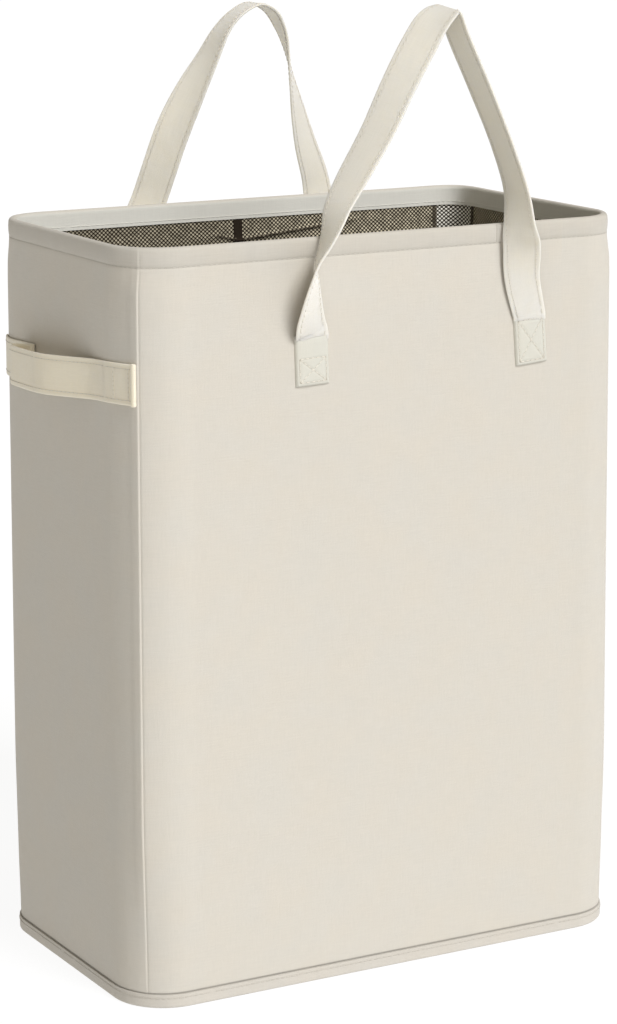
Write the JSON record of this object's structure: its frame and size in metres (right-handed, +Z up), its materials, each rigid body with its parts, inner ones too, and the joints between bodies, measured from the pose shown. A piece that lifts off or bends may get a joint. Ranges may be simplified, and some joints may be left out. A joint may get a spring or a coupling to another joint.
{
  "type": "folding laundry hamper",
  "caption": "Slim upright cloth laundry hamper with soft corners, a dark mesh liner, tall carrying loops and side grips; its ends and base fold in so that it goes flat.",
  "frame": {"origin": "on the floor under the middle of the base", "axes": "+Z up, the broad front wall faces -Y, +X to the right seen from the front"},
  "size_m": [0.5068, 0.3098, 0.7751],
  "materials": {
    "canvas": "matt ivory canvas with a fine slubby plain weave",
    "strap_webbing": "matt cream canvas strap, sewn along its edges",
    "edge_binding": "matt ivory folded tape",
    "liner_mesh": "dark brown polyester mesh over a tan backing",
    "liner_tape": "dark brown binding tape",
    "stiff_board": "plain off-white stiffening board",
    "steel_wire": "plain drawn wire"
  },
  "bodies": {
    "front_wall": {"front_cloth": "canvas", "front_board": "stiff_board", "front_liner": "liner_mesh", "front_binding": "edge_binding", "front_rim_wire": "steel_wire", "front_left_corner_cloth": "canvas", "front_left_corner_liner": "liner_mesh", "front_left_corner_binding": "edge_binding", "front_right_corner_cloth": "canvas", "front_right_corner_liner": "liner_mesh", "front_right_corner_binding": "edge_binding", "front_handle_left_patch": "strap_webbing", "front_handle_right_patch": "strap_webbing"},
    "back_wall": {"back_cloth": "canvas", "back_board": "stiff_board", "back_liner": "liner_mesh", "back_binding": "edge_binding", "back_rim_wire": "steel_wire", "back_left_corner_cloth": "canvas", "back_left_corner_liner": "liner_mesh", "back_left_corner_binding": "edge_binding", "back_right_corner_cloth": "canvas", "back_right_corner_liner": "liner_mesh", "back_right_corner_binding": "edge_binding", "back_handle_left_patch": "strap_webbing", "back_handle_right_patch": "strap_webbing", "liner_seam_tape": "liner_tape"},
    "left_front_half": {"left_front_cloth": "canvas", "left_front_board": "stiff_board", "left_front_liner": "liner_mesh", "left_front_binding": "edge_binding", "left_grip_front_end": "strap_webbing", "left_grip_span": "strap_webbing", "left_gusset": "canvas"},
    "left_back_half": {"left_back_cloth": "canvas", "left_back_board": "stiff_board", "left_back_liner": "liner_mesh", "left_back_binding": "edge_binding", "left_grip_back_end": "strap_webbing"},
    "right_front_half": {"right_front_cloth": "canvas", "right_front_board": "stiff_board", "right_front_liner": "liner_mesh", "right_front_binding": "edge_binding", "right_grip_front_end": "strap_webbing", "right_grip_span": "strap_webbing", "right_gusset": "canvas"},
    "right_back_half": {"right_back_cloth": "canvas", "right_back_board": "stiff_board", "right_back_liner": "liner_mesh", "right_back_binding": "edge_binding", "right_grip_back_end": "strap_webbing"},
    "base_front_half": {"base_front_cloth": "canvas", "base_front_board": "stiff_board", "base_front_liner": "liner_mesh"},
    "base_back_half": {"base_back_cloth": "canvas", "base_back_board": "stiff_board", "base_back_liner": "liner_mesh"},
    "front_handle": {"front_handle_strap": "strap_webbing"},
    "back_handle": {"back_handle_strap": "strap_webbing"}
  },
  "joints": [
    {"name": "left_front_corner_fold", "type": "hinge", "parent": "front_wall", "child": "left_front_half", "pos_m": [-0.203, -0.108, 0.3], "axis": [0, 0, -1], "range_deg": [0, 88], "deforming": ["front_left_corner_cloth", "front_left_corner_liner", "front_left_corner_binding", "left_grip_front_end"]},
    {"name": "left_crease", "type": "hinge", "parent": "left_front_half", "child": "left_back_half", "pos_m": [-0.229, 0, 0.3], "axis": [0, 0, 1], "range_deg": [0, 176], "deforming": ["left_grip_span", "left_gusset"]},
    {"name": "left_back_corner_fold", "type": "hinge", "parent": "left_back_half", "child": "back_wall", "pos_m": [-0.203, 0.108, 0.3], "axis": [0, 0, -1], "range_deg": [0, 88], "deforming": ["back_left_corner_cloth", "back_left_corner_liner", "back_left_corner_binding", "left_grip_back_end"]},
    {"name": "right_front_corner_fold", "type": "hinge", "parent": "front_wall", "child": "right_front_half", "pos_m": [0.203, -0.108, 0.3], "axis": [0, 0, 1], "range_deg": [0, 88], "deforming": ["front_right_corner_cloth", "front_right_corner_liner", "front_right_corner_binding", "right_grip_front_end"]},
    {"name": "right_crease", "type": "hinge", "parent": "right_front_half", "child": "right_back_half", "pos_m": [0.229, 0, 0.3], "axis": [0, 0, -1], "range_deg": [0, 176], "deforming": ["right_grip_span", "right_gusset", "back_right_corner_cloth", "back_right_corner_liner", "back_right_corner_binding", "right_grip_back_end"]},
    {"name": "base_front_fold", "type": "hinge", "parent": "front_wall", "child": "base_front_half", "pos_m": [0, -0.123, 0.005], "axis": [1, 0, 0], "range_deg": [0, 88]},
    {"name": "base_back_fold", "type": "hinge", "parent": "back_wall", "child": "base_back_half", "pos_m": [0, 0.123, 0.005], "axis": [-1, 0, 0], "range_deg": [0, 88]},
    {"name": "front_handle_swing", "type": "hinge", "parent": "front_wall", "child": "front_handle", "pos_m": [0.0285, -0.1343, 0.524], "axis": [1, 0, 0], "range_deg": [0, 110]},
    {"name": "back_handle_swing", "type": "hinge", "parent": "back_wall", "child": "back_handle", "pos_m": [0, 0.1343, 0.524], "axis": [-1, 0, 0], "range_deg": [0, 170]}
  ],
  "couplings": [
    {"joint": "left_crease", "follows": "left_front_corner_fold", "ratio": 2},
    {"joint": "left_back_corner_fold", "follows": "left_front_corner_fold", "ratio": 1},
    {"joint": "right_front_corner_fold", "follows": "left_front_corner_fold", "ratio": 1},
    {"joint": "right_crease", "follows": "left_front_corner_fold", "ratio": 2},
    {"joint": "base_front_fold", "follows": "left_front_corner_fold", "ratio": 1},
    {"joint": "base_back_fold", "follows": "left_front_corner_fold", "ratio": 1}
  ]
}
